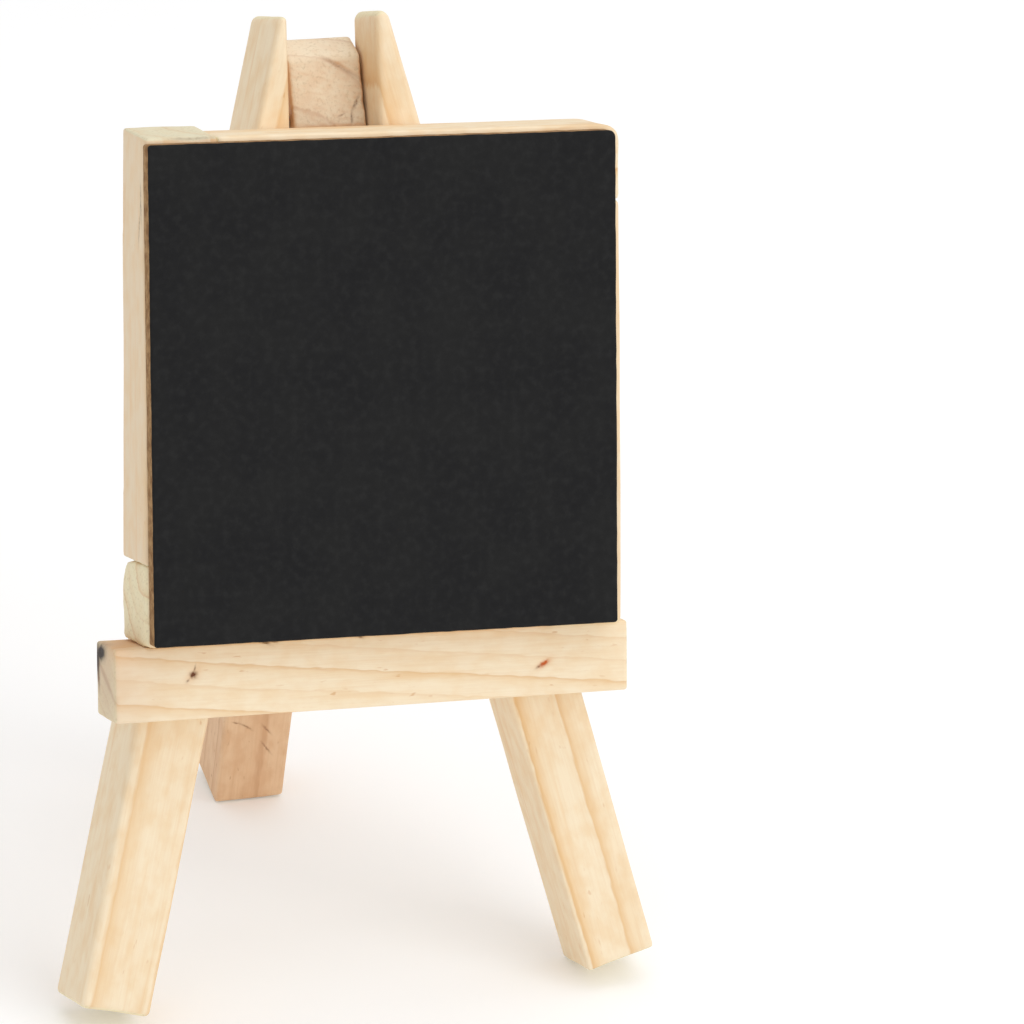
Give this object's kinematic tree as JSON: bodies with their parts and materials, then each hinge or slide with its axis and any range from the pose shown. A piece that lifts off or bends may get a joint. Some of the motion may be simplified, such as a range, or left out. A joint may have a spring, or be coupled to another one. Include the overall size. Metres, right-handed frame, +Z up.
{
  "type": "miniature tabletop easel with chalkboard",
  "caption": "Small square chalkboard on a pine backing frame, standing on the ledge of a folding wooden easel whose back leg hinges between the two front legs.",
  "frame": {"origin": "on the floor, under the middle of the easel's footprint", "axes": "+Z up, +X to the right of a reader, the board faces -Y and leans back towards +Y"},
  "size_m": [0.0762, 0.0698, 0.1209],
  "materials": {
    "pine": "bare sanded pine with soft orange grain bands",
    "pine_rear": "bare pine, pinker and rougher, sawn at its top bevel",
    "chalkboard": "brown hardboard with a matte charcoal chalkboard coat on its face",
    "steel": "dull wire nail, slightly rusted"
  },
  "bodies": {
    "easel": {"left_leg": "pine", "right_leg": "pine", "ledge_rail": "pine", "rail_brads": "steel", "pivot_nail": "steel"},
    "back_leg": {"rear_leg": "pine_rear"},
    "board": {"panel": "chalkboard", "frame_left": "pine", "frame_right": "pine", "frame_top": "pine", "frame_bottom": "pine"}
  },
  "joints": [
    {"name": "rear_leg_hinge", "type": "hinge", "parent": "easel", "child": "back_leg", "pos_m": [0, 0.00567, 0.10602], "axis": [1, 0, 0], "range_deg": [-29.5, 20]},
    {"name": "board_lift", "type": "slide", "parent": "easel", "child": "board", "axis": [0.0332, 0.3039, 0.9521], "range_m": [0, 0.07]}
  ]
}
